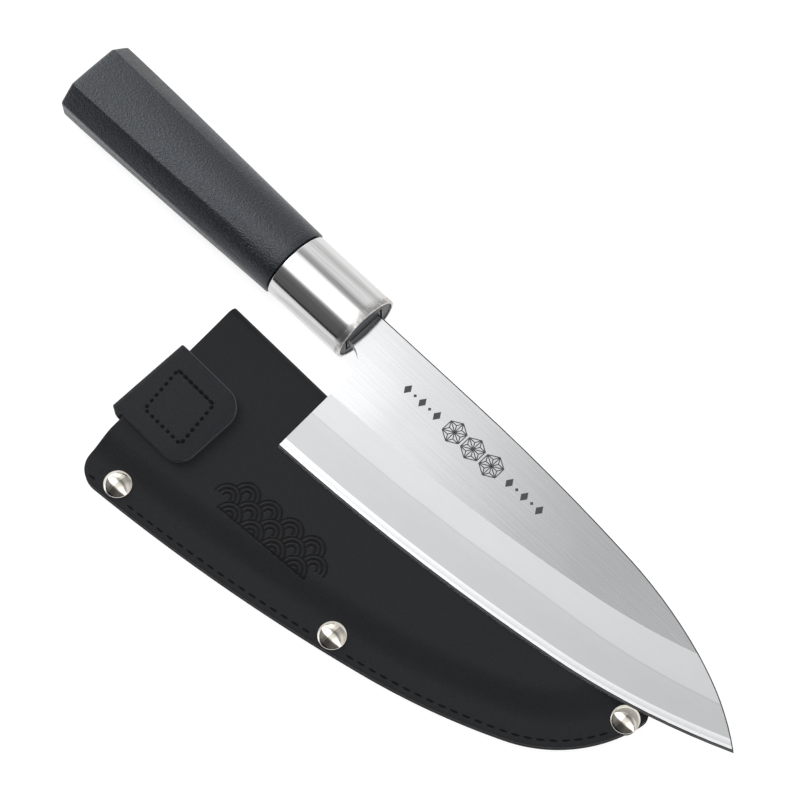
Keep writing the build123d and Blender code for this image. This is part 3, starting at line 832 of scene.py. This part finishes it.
class DEBA_OT_strap(bpy.types.Operator):
    """Builds the strap, its two bends, its flap and the hook and loop tapes"""

    bl_idname = "deba.strap"
    bl_label = "Strap"

    def execute(self, context):
        s, sheath = context.scene.deba_strap, context.scene.deba_sheath
        x0, y0 = cad_of_mouth(sheath)
        half = sheath.leather / 2
        left = x0 - s.overhang + half
        low, high = half, s.top - half
        root_inside = 6.0 * MM
        root_reach = s.overhang + root_inside
        bend = s.bend
        quarter = pi / 2 * bend
        straight = high - low - 2 * bend
        flap = s.long - half - bend
        droop_start, droop_run = 20 * MM, 9 * MM
        stretches = [root_reach - half - bend, quarter, straight, quarter, flap]
        limits = [sum(stretches[:i]) for i in range(6)]

        def centre_line(along):
            """The place and the outward direction on the strap's middle, at a distance from its root."""
            if along <= limits[1]:
                return Vector((left + bend + limits[1] - along, 0, low)), Vector((0, 0, -1))
            if along <= limits[2]:
                turn = (along - limits[1]) / bend
                out = Vector((-sin(turn), 0, -cos(turn)))
                return Vector((left + bend, 0, low + bend)) + out * bend, out
            if along <= limits[3]:
                return Vector((left, 0, low + bend + along - limits[2])), Vector((-1, 0, 0))
            if along <= limits[4]:
                turn = (along - limits[3]) / bend
                out = Vector((-cos(turn), 0, sin(turn)))
                return Vector((left + bend, 0, high - bend)) + out * bend, out
            run = along - limits[4]
            drop = s.droop * smooth_step((run - droop_start) / droop_run)
            return Vector((left + bend + run, 0, high - drop)), Vector((0, 0, 1))

        def strip(name, start, end, rounded_end):
            """One stretch of the strap, cut flat, thickened, rounded at its edges and then bent."""
            bm = bmesh.new()
            wide = s.wide / 2
            flat = ((start, -wide), (end, -wide), (end, wide), (start, wide))
            corners = [bm.verts.new((x, y, 0)) for x, y in flat]
            bmesh.ops.contextual_create(bm, geom=corners)
            if rounded_end:
                for corner, radius in ((corners[1], s.near_corner), (corners[2], s.far_corner)):
                    bevel(bm, [corner], radius, 14, "VERTICES")
            made = bmesh.ops.extrude_face_region(bm, geom=list(bm.faces))
            lifted = [v for v in made["geom"] if isinstance(v, bmesh.types.BMVert)]
            bmesh.ops.translate(bm, verts=lifted, vec=(0, 0, sheath.leather))
            bmesh.ops.translate(bm, verts=bm.verts, vec=(0, 0, -half))
            bmesh.ops.recalc_face_normals(bm, faces=bm.faces)
            bm.normal_update()
            sides = [f for f in bm.faces if abs(f.normal.z) < 0.5]
            ends = [f for f in sides if abs(f.normal.x) > 0.99 and not (rounded_end and f.normal.x > 0)]
            for face in sides:
                face.material_index = 1
            rim = [
                e
                for e in bm.edges
                if e.calc_face_angle(0.0) > radians(60)
                and abs(e.verts[0].co.z - e.verts[1].co.z) < half
                and not any(f in ends for f in e.link_faces)
            ]
            bevel(bm, rim, sheath.cut_rounding, 3)
            bm.normal_update()
            # The upper rim by the fold's side and round the free end is painted a lighter grey: a painted
            # highlight where the cut edge catches the light
            for face in bm.faces:
                n = face.normal
                if n.z > 0.2 and (n.y > 0.1 or (n.x > 0.3 and n.y > -0.4)):
                    face.material_index = 2
            cuts = [limits[1] + quarter * k / 8 for k in range(9)]
            cuts += [limits[3] + quarter * k / 8 for k in range(9)]
            cuts += [limits[2] + straight * k / 4 for k in range(1, 4)]
            cuts += [limits[4] + (15 + k) * MM for k in range(13)]
            for station in cuts:
                if start + 0.01 * MM < station < end - 0.01 * MM:
                    geom = list(bm.verts) + list(bm.edges) + list(bm.faces)
                    bmesh.ops.bisect_plane(bm, geom=geom, plane_co=(station, 0, 0), plane_no=(1, 0, 0))
            for vert in bm.verts:
                centre, out = centre_line(vert.co.x)
                y = y0 - s.from_fold - s.wide / 2 + vert.co.y
                vert.co = Vector((centre.x, y, centre.z)) + out * vert.co.z
            bmesh.ops.recalc_face_normals(bm, faces=bm.faces)
            piece = finish_piece(name, bm, [leather, cut, worn_and_highlit])
            piece.visible_glossy = False
            return piece

        leather = leather_material("calendered_strap_leather", sheath.leather_colour, sheath.grain, 1.25)
        # The strap's cut edge is painted lighter than the sheath's, and its upper rim lighter still: painted
        # highlights
        cut = cut_edge_material("cut_strap_edge", tone(sheath.edge_colour, 1.5))
        worn_and_highlit = cut_edge_material("painted_highlight_strap_rim", linear("#484a4c"))
        split = (limits[2] + limits[3]) / 2
        root = strip("strap_root_and_bend", 0.0, split, False)
        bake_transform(root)
        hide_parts("strap_fold")
        cover = strip("strap_bend_and_flap", split, limits[5], True)
        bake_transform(cover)
        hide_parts("strap_flap")
        self.tapes()
        return {"FINISHED"}

    def tapes(self):
        """The loop tape on the front and the hook tape under the flap."""
        for node_name, body, name in (
            ("loop_patch", "sheath", "loop_tape"),
            ("hook_patch", "strap_end", "hook_tape"),
        ):
            low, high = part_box(node_name)
            bm = bmesh.new()
            block(bm, Matrix.Translation((low + high) / 2), high - low)
            bevel(bm, bm.edges, 0.15 * MM, 2)
            piece = finish_piece(name, bm, [tape_material(name + "_pile", linear("#151517"))])
            piece.visible_glossy = False
            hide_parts(node_name)
            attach(piece, body)


class DEBA_OT_stitching(bpy.types.Operator):
    """Sews the seam, the square of the hook tape and that of the loop tape"""

    bl_idname = "deba.stitching"
    bl_label = "Stitching"

    def execute(self, context):
        material = thread_material(context.scene.deba_sheath.thread_colour)
        # Half a stitch's width, and how far it stands out over the CAD stitch
        for node_name, name, body, wide, proud in (
            ("edge_stitching", "seam_thread", "sheath", 0.44 * MM, 0.1 * MM),
            ("strap_stitching", "strap_thread", "strap_end", 0.8 * MM, 0.22 * MM),
            ("loop_patch_stitching", "loop_tape_thread", "sheath", 0.44 * MM, 0.1 * MM),
        ):
            bm = bmesh.new()
            far_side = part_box(node_name)[1].y - 1.5 * MM
            for points in solids_of(node_name):
                middle, low, high = middle_of(points)
                # The strap's seam ends with a few stitches sewn twice along its far side
                sewn_twice = name == "strap_thread" and middle.y > far_side
                long = max((p - middle).xy.length for p in points) * (1.6 if sewn_twice else 1.0)
                made = bmesh.ops.create_uvsphere(bm, u_segments=8, v_segments=6, radius=1.0)
                bmesh.ops.transform(
                    bm,
                    verts=made["verts"],
                    matrix=Matrix.Translation(middle)
                    @ Matrix.Rotation(heading_of(points, middle), 4, "Z")
                    @ Matrix.Diagonal((long, wide, (high.z - low.z) / 2 + proud, 1.0))
                    @ Matrix.Rotation(pi / 2, 4, "Y"),
                )
            piece = finish_piece(name, bm, [material], 60.0)
            piece.visible_glossy = False
            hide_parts(node_name)
            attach(piece, body)
        return {"FINISHED"}


class DEBA_OT_rivets(bpy.types.Operator):
    """Finishes the domed rivets and their backs"""

    bl_idname = "deba.rivets"
    bl_label = "Rivets"

    def execute(self, context):
        nickel = nickel_material(context.scene.deba_sheath.nickel_colour)
        dress("rivet_caps", nickel)
        dress("rivet_backs", nickel)
        return {"FINISHED"}


def octagon_section(width, thick, chamfer, radius, ridge, crown):
    """Points of a rounded octagon with their normals: crowned faces, a mould line on the narrow sides."""
    a, b = width / 2, thick / 2
    quarter = [(a, b - chamfer), (a - chamfer, b), (chamfer - a, b), (-a, b - chamfer)]
    corners = [Vector(p) for p in quarter] + [Vector((x, -y)) for x, y in quarter[::-1]]
    headings = [pi / 4 * k for k in range(9)]
    rounds = []
    for k, corner in enumerate(corners):
        n1, n2 = (Vector((cos(h), sin(h))) for h in headings[k : k + 2])
        centre = corner - (n1 + n2) * radius / (1 + n1.dot(n2))
        arc = [Vector((cos(headings[k] + pi / 20 * i), sin(headings[k] + pi / 20 * i))) for i in range(6)]
        rounds.append([(centre + n * radius, n) for n in arc])
    points = []
    for k, arc in enumerate(rounds):
        points += arc
        start, end = arc[-1][0], rounds[(k + 1) % 8][0][0]
        normal = arc[-1][1]
        if k in (3, 7):
            middle = (start + end) / 2
            step = (end - start).normalized() * 0.16 * MM
            points += [(start * 0.7 + end * 0.3, normal), (middle - step, normal)]
            points += [(middle + normal * ridge, normal), (middle + step, normal)]
            points += [(start * 0.3 + end * 0.7, normal)]
        else:
            swell = crown if k in (1, 5) else 0.3 * crown
            for i in range(1, 10):
                out = normal * swell * (1 - (i / 5 - 1) ** 2)
                points.append((start + (end - start) * i / 10 + out, normal))
    return points


def on_oval(point, width, thick):
    """A point of an ellipse with its normal."""
    a, b = width / 2, thick / 2
    return point, Vector((point.x / a**2, point.y / b**2)).normalized()


def oval_at(direction, width, thick):
    """The point of an ellipse in a direction from its centre, with its normal."""
    a, b = width / 2, thick / 2
    d = direction.normalized()
    return on_oval(d * (a * b / hypot(b * d.x, a * d.y)), width, thick)


# The etched band, from the ferrule's mouth and the knife's axis: height of the flat that carries it, its line
# aside, its stars along the blade, and each row of diamonds by its first place and its step
FLAT_TOP, BAND_LINE = 1.75 * MM, -5.6 * MM
STAR_PLACES = (45, 53, 61)
DIAMOND_ROWS = ((37.2, -3.2), (68.8, 3.2))
LARGE_DIAMOND, SMALL_DIAMOND = (1.3 * MM, 1.9 * MM), (0.65 * MM, 0.65 * MM)
# Thickness of an etched line and of the painted dark line on the spine, each a bar set into the steel
LINE_THICK = 0.03 * MM
# The tang's slot in the nose: its ends aside and its half width. A groove runs round it, and the lip between
# them carries the blade: the places along the knife and how much wider than the slot they are, in millimetres
SLOT_LOW, SLOT_HIGH, SLOT_HALF = -7.2 * MM, 6.2 * MM, 1.95 * MM
SLOT_STEPS = ((-0.5, 1.4), (-2.0, 1.3), (-2.0, 0.8), (-0.6, 0.7), (-0.6, 0.0), (-22.0, 0.0))
# How upright a blade's face is in each of its finishes: flat, broad bevel, small bevel, edge facet, sides
RISE_LIMITS = (0.997, 0.987, 0.94, 0.5, -2.0)


class DEBA_OT_knife(bpy.types.Operator):
    """Builds the ground blade with its etched ornament and the moulded grip, and finishes the ferrule"""

    bl_idname = "deba.knife"
    bl_label = "Knife"

    def execute(self, context):
        s = context.scene.deba_knife
        self.blade(s)
        self.ornament(s)
        self.grip(s)
        self.ferrule(s)
        return {"FINISHED"}

    def blade(self, s):
        """The blade with one finish for each of its grindings, and its spine eased."""
        bm = bmesh.new()
        bm.from_mesh(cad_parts["blade"].data)
        bmesh.ops.remove_doubles(bm, verts=bm.verts, dist=0.001 * MM)
        bmesh.ops.dissolve_limit(bm, angle_limit=radians(0.02), verts=bm.verts, edges=bm.edges)
        bm.normal_update()
        self.spine(s, bm)
        for face in bm.faces:
            rise = face.normal.z
            face.material_index = next(slot for slot, limit in enumerate(RISE_LIMITS) if rise > limit)
        drop = {e: abs(e.verts[0].co.z - e.verts[1].co.z) for e in bm.edges}
        thin = {
            v
            for e in bm.edges
            if drop[e] > 0.9 * e.calc_length() and e.calc_length() < 1.5 * MM
            for v in e.verts
        }
        eased = [
            e
            for e in bm.edges
            if e.calc_face_angle(0.0) > radians(70)
            and not thin & set(e.verts)
            and not self.by_the_choil(e)
            and drop[e] < 0.01 * MM
        ]
        bevel(bm, eased, s.spine_easing, 2, clamp=True)
        for edge in bm.edges:
            slots = {f.material_index for f in edge.link_faces}
            edge.smooth = len(slots) == 1 and edge.calc_face_angle(0.0) < radians(25)
        face = s.steel_colour
        materials = [
            flat_material(s, face),
            bevel_material(tone(face, 1.02)),
            honed_material(s, tone(face, 1.35)),
            facet_material(s, tone(face, 0.8)),
            # The blade's sides are painted a little lighter than its flat: painted light that lifts the shade
            # on the neck's side
            steel_material("ground_side_steel", tone(face, 1.1), (8 * MM, s.grind), 0.1, 0.7, 0.01 * MM),
        ]
        piece = finish_piece("ground_blade", bm, materials, None)
        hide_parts("blade")
        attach(piece, "knife")

    def spine(self, s, blade):
        """A painted dark line along the upper edge of the spine, a painted dark reflection on its eased edge,
        as thin bars set into the steel.
        """
        neck_end, proud, overlap = 12 * MM, 0.012 * MM, 0.05 * MM
        bm = bmesh.new()
        for edge in blade.edges:
            faces = sorted(edge.link_faces, key=lambda f: f.normal.z)
            if len(faces) != 2 or faces[1].normal.z < 0.9 or abs(faces[0].normal.z) > 0.5:
                continue
            a, b = (v.co for v in edge.verts)
            at = KNIFE.inverted() @ ((a + b) / 2)
            side = KNIFE.inverted().to_3x3() @ faces[0].normal
            if at.x < neck_end or side.y < 0.1:
                continue
            along = (b - a).normalized()
            up = faces[1].normal
            across = up.cross(along)
            if across.dot(faces[0].normal) > 0:
                across = -across
            turn = Matrix((along, across, along.cross(across))).transposed().to_4x4()
            centre = (a + b) / 2 + across * s.spine_line / 2 + up * (proud - LINE_THICK / 2)
            size = ((b - a).length + overlap, s.spine_line, LINE_THICK)
            block(bm, Matrix.Translation(centre) @ turn, size)
        marks = (8 * MM, s.grind)
        dark = steel_material("painted_dark_spine_steel", tone(s.steel_colour, 0.1), marks, 0.1, 0.35, 0.01 * MM)
        piece = finish_piece("painted_dark_spine_line", bm, [dark], 20.0)
        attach(piece, "knife")

    def by_the_choil(self, edge):
        """Whether an edge belongs to the neck's lower side or the heel, which stay sharp."""
        past_heel, past_axis = 25 * MM, 2 * MM
        at = KNIFE.inverted() @ ((edge.verts[0].co + edge.verts[1].co) / 2)
        return at.x < past_heel and at.y < past_axis

    def ornament(self, s):
        """A band of hemp-leaf stars between two rows of diamonds, etched into the flat of the blade."""
        bm = bmesh.new()
        strokes = []
        for along in STAR_PLACES:
            centre = Vector((along * MM, BAND_LINE))
            turns = [radians(90 + 60 * k) for k in range(7)]
            rim = [centre + Vector((cos(turn), sin(turn))) * s.star_radius for turn in turns]
            for a, b in zip(rim, rim[1:]):
                heart = (centre + a + b) / 3
                strokes += [(a, b), (centre, a), (centre, heart), (heart, a), (heart, b)]
        for level, (start, end) in enumerate(strokes, 1):
            run, middle = end - start, (start + end) / 2
            # Strokes that cross stand a little apart in height, so that no two faces coincide
            stand = (0.004 + 0.0007 * (level % 7)) * MM
            place = KNIFE @ Matrix.Translation((middle.x, middle.y, FLAT_TOP + stand - LINE_THICK / 2))
            size = (run.length + s.etch_line * 0.6, s.etch_line, LINE_THICK)
            block(bm, place @ Matrix.Rotation(atan2(run.y, run.x), 4, "Z"), size)
        for first, step in DIAMOND_ROWS:
            for number in range(5):
                long, wide = LARGE_DIAMOND if number % 2 == 0 else SMALL_DIAMOND
                made = bmesh.ops.create_cone(
                    bm, cap_ends=True, segments=4, radius1=1.0, radius2=1.0, depth=1.0
                )
                bmesh.ops.transform(
                    bm,
                    verts=made["verts"],
                    matrix=KNIFE
                    @ Matrix.Translation(((first + step * number) * MM, BAND_LINE, FLAT_TOP - 0.008 * MM))
                    @ Matrix.Diagonal((long, wide, LINE_THICK, 1.0)),
                )
        piece = finish_piece("etched_ornament", bm, [etching_material(s.etch_colour)], 20.0)
        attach(piece, "knife")

    def ferrule(self, s):
        """The oval ferrule: its back edge broken, its mouth rolled in to a thin lip."""
        around, steps = 144, 6
        back_round, mouth_round, lip = 0.4 * MM, 0.6 * MM, 0.95 * MM
        profile = [(-s.ferrule_long, s.ferrule_wall)]
        profile += [(-s.ferrule_long + x, y) for x, y in quarter_round(back_round, steps)]
        profile += [(-s.ferrule_long * (1 - k / 8), 0.0) for k in range(1, 8)]
        profile += [(-y, x) for x, y in quarter_round(mouth_round, steps)]
        profile += [(-0.1 * MM, lip), (-0.4 * MM, lip + 0.05 * MM), (-0.8 * MM, lip)]
        profile += [(-0.95 * MM, s.ferrule_wall), profile[0]]
        wide, thick = s.ferrule_wide, s.ferrule_thick
        oval = []
        for k in range(around):
            turn = 2 * pi * k / around
            oval.append(on_oval(Vector((wide / 2 * cos(turn), thick / 2 * sin(turn))), wide, thick))

        def place(column, row):
            along, inset = profile[column]
            point, normal = oval[row]
            point = point - normal * inset
            return KNIFE @ Vector((along, point.x, point.y))

        bm = skin(len(profile) - 1, around, place)
        piece = finish_piece("rolled_ferrule", bm, [ferrule_material(s.ferrule_colour)], 50.0)
        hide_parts("ferrule")
        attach(piece, "knife")

    def grip(self, s):
        """The grip: an octagon at the butt that runs into the oval of the ferrule, and the nose inside it."""
        around = len(octagon_section(1.0, 1.0, 0.2, 0.1, 0.0, 0.0))
        front = -s.ferrule_long
        shoulder = front - s.joint_gap
        rounding, front_rounding = s.butt_rounding, 0.3 * MM
        stations = [(front - s.grip_long + x, y) for x, y in quarter_round(rounding, 5)]
        run = shoulder - front + s.grip_long - rounding - front_rounding
        stations += [(stations[5][0] + run * k / 40, 0.0) for k in range(1, 41)]
        stations += [(shoulder - y, x) for x, y in quarter_round(front_rounding, 3)[1:]]
        # The nose ends a little inside the ferrule's mouth, with its rim broken
        nose_rim, nose_face, broken = -0.65 * MM, -0.5 * MM, 0.3 * MM
        nose = (
            (shoulder, s.nose_wide, s.nose_thick),
            (nose_rim, s.nose_wide, s.nose_thick),
            (nose_face, s.nose_wide - broken, s.nose_thick - broken),
        )
        mould_line = -0.08 * MM

        def grip_section(along):
            """The section at a place along the grip, as points with normals."""
            part = max(0.0, (front - along) / s.grip_long)
            wide = s.front_wide + (1 - (1 - part) ** 1.4) * (s.butt_wide - s.front_wide)
            thick = s.front_thick + part * (s.butt_thick - s.front_thick)
            chamfer = s.front_chamfer + part * (s.butt_chamfer - s.front_chamfer)
            radius = (1.1 + 2.2 * smooth_step((0.75 - part) / 0.75)) * MM
            crown = s.crown * (0.2 + 0.8 * smooth_step((1.0 - part) / 0.5))
            octagon = octagon_section(wide, thick - 2 * crown, chamfer, radius, mould_line, crown)
            section = []
            for point, normal in octagon:
                # The octagon runs further towards the ferrule on the edge side than by the spine
                start = 0.42 + 0.36 * smooth_step(point.x / wide + 0.5)
                weight = smooth_step((start - part) / start)
                oval, oval_normal = oval_at(point, wide, thick)
                section.append((point.lerp(oval, weight), normal.lerp(oval_normal, weight).normalized()))
            return section

        def slot_point(direction, grown):
            """Where a direction from the slot's middle meets the slot's outline, grown by a width."""
            middle = (SLOT_LOW + SLOT_HIGH) / 2
            half = (SLOT_HIGH - SLOT_LOW) / 2 + grown
            reach = min(half / max(abs(direction.x), 1e-6), (SLOT_HALF + grown) / max(abs(direction.y), 1e-6))
            return Vector((middle + direction.x * reach, direction.y * reach))

        sections = [(along, [p - n * inset for p, n in grip_section(along)]) for along, inset in stations]
        rim = [p for p, n in grip_section(front)]
        for along, wide, thick in nose:
            sections.append((along, [oval_at(p, wide, thick)[0] for p in rim]))
        for along, grown in SLOT_STEPS:
            sections.append((along * MM, [slot_point(p.normalized(), grown * MM) for p in rim]))

        def place(column, row):
            along, section = sections[column]
            return KNIFE @ Vector((along, section[row].x, section[row].y))

        bm = skin(len(sections) - 1, around, place)
        bm.normal_update()
        # The nose's front face takes the lighter grey, a painted reflection
        for face in bm.faces:
            at = KNIFE.inverted() @ face.calc_center_median()
            if face.normal.x > 0.9 and at.x > nose_rim - 0.05 * MM:
                face.material_index = 1
        # The nose face's grey is a painted reflection, lighter than the resin
        materials = [resin_material(s), nose_material(linear("#45474b"))]
        piece = finish_piece("moulded_grip", bm, materials, 60.0)
        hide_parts("handle")
        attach(piece, "knife")


# What the studio shows to the metal. The first list goes over the object from the spine's side, by degrees
# over the horizon: a bright side, a soft box overhead and a dark side. The second dims it by how far to the
# right it is seen, from -1 to 1.
LIGHT_BANDS = (
    (0, 0.375), (9, 0.36), (18, 0.29), (25, 0.37), (35, 0.42), (45, 0.40), (51, 0.34), (56, 0.22),
    (60, 0.19), (66, 0.19), (70, 0.45), (73, 0.64), (80, 0.78), (97, 0.96), (107, 0.98), (111, 0.6),
    (114, 0.3), (118, 0.1), (124, 0.066), (137, 0.054), (160, 0.05), (163, 0.008), (170, 0.008), (172, 0.39),
)
LIGHT_FALL = (
    (-0.7, 1.0), (-0.45, 0.5), (-0.28, 0.5), (-0.2475, 0.43), (-0.224, 0.31), (-0.2, 0.225),
    (-0.172, 0.207), (-0.143, 0.235), (-0.114, 0.25), (0.2, 0.25), (0.6, 0.45),
)
CAMERA_TARGET = Vector((-33.18, 51.74, 7.4)) * MM
FLOOR_GAP = 0.1 * MM


class DEBA_OT_studio(bpy.types.Operator):
    """Builds the pale floor, the soft light and the camera"""

    bl_idname = "deba.studio"
    bl_label = "Studio"

    def execute(self, context):
        s = context.scene.deba_studio
        bm = bmesh.new()
        bmesh.ops.create_circle(bm, cap_ends=True, segments=64, radius=s.floor_radius)
        bmesh.ops.translate(bm, verts=bm.verts, vec=(0, 0, -FLOOR_GAP))
        glow = {"Emission Color": (1, 1, 1, 1), "Emission Strength": s.floor_glow}
        paper = new_material("pale_paper")[0]
        finished(paper, s.floor_colour, 0.9, {"Specular IOR Level": 0.1, **glow})
        floor = finish_piece("studio_floor", bm, [paper])
        self.light(context, s)
        self.camera(context, s)
        context.scene.view_settings.view_transform = "Standard"
        return {"FINISHED"}

    def light(self, context, s):
        """A white studio: a long soft box overhead, a bright side and a dark side."""
        world = bpy.data.worlds.new("studio_light")
        world.use_nodes = True
        world.node_tree.nodes.clear()
        node = partial(add_node, world.node_tree)
        place = node("ShaderNodeTexCoord").outputs["Generated"]
        x, y, z = node("ShaderNodeSeparateXYZ", {"Vector": place}).outputs
        angle = node("ShaderNodeMath", {0: z, 1: y}, operation="ARCTAN2").outputs[0]
        over = node("ShaderNodeMapRange", {"Value": angle, "From Min": 0.0, "From Max": pi})
        bands = node(
            "ShaderNodeValToRGB",
            {"Fac": over.outputs[0]},
            stops=[(degrees / 180, value) for degrees, value in LIGHT_BANDS],
        )
        right = node("ShaderNodeMapRange", {"Value": x, "From Min": -1.0, "From Max": 1.0})
        fall = node(
            "ShaderNodeValToRGB",
            {"Fac": right.outputs[0]},
            stops=[((place + 1) / 2, value) for place, value in LIGHT_FALL],
        )
        both = {0: 1.0, 6: bands.outputs["Color"], 7: fall.outputs["Color"]}
        shown = node("ShaderNodeMix", both, **MULTIPLIED)
        light = node("ShaderNodeBackground", {"Color": shown.outputs[2], "Strength": s.light})
        plain = node("ShaderNodeBackground", {"Color": linear("#f6f6f6"), "Strength": 1.0})
        seen = node("ShaderNodeLightPath").outputs["Is Camera Ray"]
        mix = node("ShaderNodeMixShader", {0: seen, 1: light.outputs[0], 2: plain.outputs[0]})
        node("ShaderNodeOutputWorld", {"Surface": mix.outputs[0]})
        context.scene.world = world

    def camera(self, context, s):
        """The camera at the photograph's angle."""
        data = bpy.data.cameras.new("studio_camera")
        data.lens = s.lens
        data.sensor_width = 36.0
        data.clip_start, data.clip_end = 0.01, 100.0
        camera = bpy.data.objects.new("studio_camera", data)
        context.scene.collection.objects.link(camera)
        a, e = radians(s.azimuth), radians(s.elevation)
        back = Vector((sin(a) * cos(e), -cos(a) * cos(e), sin(e)))
        camera.location = CAMERA_TARGET + back * s.distance
        camera.rotation_euler = (-back).to_track_quat("-Z", "Y").to_euler()
        context.scene.camera = camera


class DEBA_PT_panel(bpy.types.Panel):
    """Lists the pieces of the knife and its sheath"""

    bl_idname = "DEBA_PT_panel"
    bl_label = "Deba Knife"
    bl_space_type = "VIEW_3D"
    bl_region_type = "UI"
    bl_category = "Deba"

    def draw(self, context):
        for operator in OPERATORS:
            self.layout.operator(operator.bl_idname)
        for group in SETTINGS:
            box = self.layout.box()
            settings = getattr(context.scene, group)
            for name in settings.__annotations__:
                box.prop(settings, name)


SETTINGS = {
    "deba_sheath": DebaSheathSettings,
    "deba_strap": DebaStrapSettings,
    "deba_knife": DebaKnifeSettings,
    "deba_studio": DebaStudioSettings,
}
OPERATORS = (
    DEBA_OT_sheath,
    DEBA_OT_strap,
    DEBA_OT_stitching,
    DEBA_OT_rivets,
    DEBA_OT_knife,
    DEBA_OT_studio,
)


def register():
    for group, settings in SETTINGS.items():
        bpy.utils.register_class(settings)
        setattr(bpy.types.Scene, group, PointerProperty(type=settings))
    for item in (*OPERATORS, DEBA_PT_panel):
        bpy.utils.register_class(item)


def unregister():
    for item in reversed((*OPERATORS, DEBA_PT_panel)):
        bpy.utils.unregister_class(item)
    for group, settings in SETTINGS.items():
        delattr(bpy.types.Scene, group)
        bpy.utils.unregister_class(settings)


def main():
    register()
    bpy.ops.deba.sheath()
    bpy.ops.deba.strap()
    bpy.ops.deba.stitching()
    bpy.ops.deba.rivets()
    bpy.ops.deba.knife()
    bpy.ops.deba.studio()


if __name__ == "__main__":
    main()
